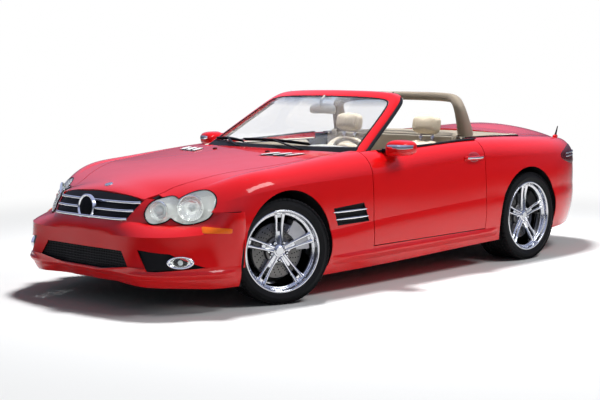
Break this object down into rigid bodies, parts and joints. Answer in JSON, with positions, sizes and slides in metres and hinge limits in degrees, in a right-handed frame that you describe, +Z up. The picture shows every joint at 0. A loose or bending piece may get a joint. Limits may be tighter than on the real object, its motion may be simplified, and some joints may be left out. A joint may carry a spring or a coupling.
{
  "type": "convertible car",
  "caption": "Two-seat open roadster with folding roof stowed: opening doors, hood and trunk lid, steered front wheels and rolling chrome wheels",
  "frame": {"origin": "On the ground under the middle of the car's length and width", "axes": "+X to the front of the car, +Y to its left, +Z up"},
  "size_m": [4.5143, 1.986, 1.272],
  "materials": {
    "red_paint": "bright red gloss paint",
    "tyre": "black rubber",
    "rim_chrome": "polished chrome",
    "underbody": "dark sealed metal",
    "carrier_metal": "cast, silver grey",
    "exhaust_steel": "heat-dulled steel",
    "lamp_lens": "clear lens",
    "tail_lens": "dark red lens",
    "screen_glass": "clear, lightly tinted at the top",
    "black_trim": "black moulded plastic",
    "beige_leather": "soft beige leather",
    "cabin_trim": "grained beige trim"
  },
  "bodies": {
    "body": {"floor_tub": "underbody", "front_wing_left": "red_paint", "front_wing_right": "red_paint", "body_side_left": "red_paint", "body_side_right": "red_paint", "front_bumper": "red_paint", "rear_bumper": "red_paint", "grille": "black_trim", "lower_grille": "black_trim", "head_lamp_left": "lamp_lens", "head_lamp_right": "lamp_lens", "fog_lamp_left": "lamp_lens", "fog_lamp_right": "lamp_lens", "gill_left": "black_trim", "gill_right": "black_trim", "tail_lamp_left": "tail_lens", "tail_lamp_right": "tail_lens", "windscreen_frame": "red_paint", "windscreen": "screen_glass", "cowl": "black_trim", "dashboard": "cabin_trim", "seat_left": "beige_leather", "seat_right": "beige_leather", "rear_tray": "cabin_trim", "roll_bar": "cabin_trim", "engine_block": "underbody", "exhaust": "exhaust_steel", "front_axle": "underbody", "rear_axle": "underbody"},
    "hood": {"hood": "red_paint"},
    "trunk_lid": {"trunk_lid": "red_paint"},
    "door_left": {"door_left": "red_paint"},
    "door_right": {"door_right": "red_paint"},
    "knuckle_left": {"knuckle_left": "carrier_metal"},
    "knuckle_right": {"knuckle_right": "carrier_metal"},
    "steering_wheel": {"steering_wheel": "cabin_trim"},
    "wheel_front_left": {"rim_front_left": "rim_chrome", "tyre_front_left": "tyre"},
    "wheel_front_right": {"rim_front_right": "rim_chrome", "tyre_front_right": "tyre"},
    "wheel_rear_left": {"rim_rear_left": "rim_chrome", "tyre_rear_left": "tyre"},
    "wheel_rear_right": {"rim_rear_right": "rim_chrome", "tyre_rear_right": "tyre"}
  },
  "joints": [
    {"name": "hood_hinge", "type": "hinge", "parent": "body", "child": "hood", "pos_m": [0.81, 0, 0.882], "axis": [0, -1, 0], "range_deg": [0, 50]},
    {"name": "trunk_hinge", "type": "hinge", "parent": "body", "child": "trunk_lid", "pos_m": [-1.312, 0, 0.931], "axis": [0, 1, 0], "range_deg": [0, 70]},
    {"name": "door_left_hinge", "type": "hinge", "parent": "body", "child": "door_left", "pos_m": [0.58, 0.891, 0.545], "axis": [0, 0, -1], "range_deg": [0, 60]},
    {"name": "door_right_hinge", "type": "hinge", "parent": "body", "child": "door_right", "pos_m": [0.58, -0.891, 0.545], "axis": [0, 0, 1], "range_deg": [0, 60]},
    {"name": "steer_left", "type": "hinge", "parent": "body", "child": "knuckle_left", "pos_m": [1.36, 0.746, 0.2], "axis": [0, 0, 1], "range_deg": [-12, 47]},
    {"name": "steer_right", "type": "hinge", "parent": "body", "child": "knuckle_right", "pos_m": [1.36, -0.746, 0.2], "axis": [0, 0, 1], "range_deg": [-12, 47]},
    {"name": "column_turn", "type": "hinge", "parent": "body", "child": "steering_wheel", "pos_m": [0.209, 0.37, 0.787], "axis": [-0.9272, 0, 0.3746], "range_deg": [-170, 660]},
    {"name": "roll_front_left", "type": "hinge", "parent": "knuckle_left", "child": "wheel_front_left", "pos_m": [1.36601, 0.76507, 0.328], "axis": [0.3007, 0.9537, 0], "continuous": true},
    {"name": "roll_front_right", "type": "hinge", "parent": "knuckle_right", "child": "wheel_front_right", "pos_m": [1.35399, -0.76507, 0.328], "axis": [0.3007, 0.9537, 0], "continuous": true},
    {"name": "roll_rear_left", "type": "hinge", "parent": "body", "child": "wheel_rear_left", "pos_m": [-1.182, 0.752, 0.328], "axis": [0, 1, 0], "continuous": true},
    {"name": "roll_rear_right", "type": "hinge", "parent": "body", "child": "wheel_rear_right", "pos_m": [-1.182, -0.752, 0.328], "axis": [0, 1, 0], "continuous": true}
  ],
  "couplings": [
    {"joint": "steer_right", "follows": "steer_left", "ratio": 1},
    {"joint": "column_turn", "follows": "steer_left", "ratio": 14}
  ]
}
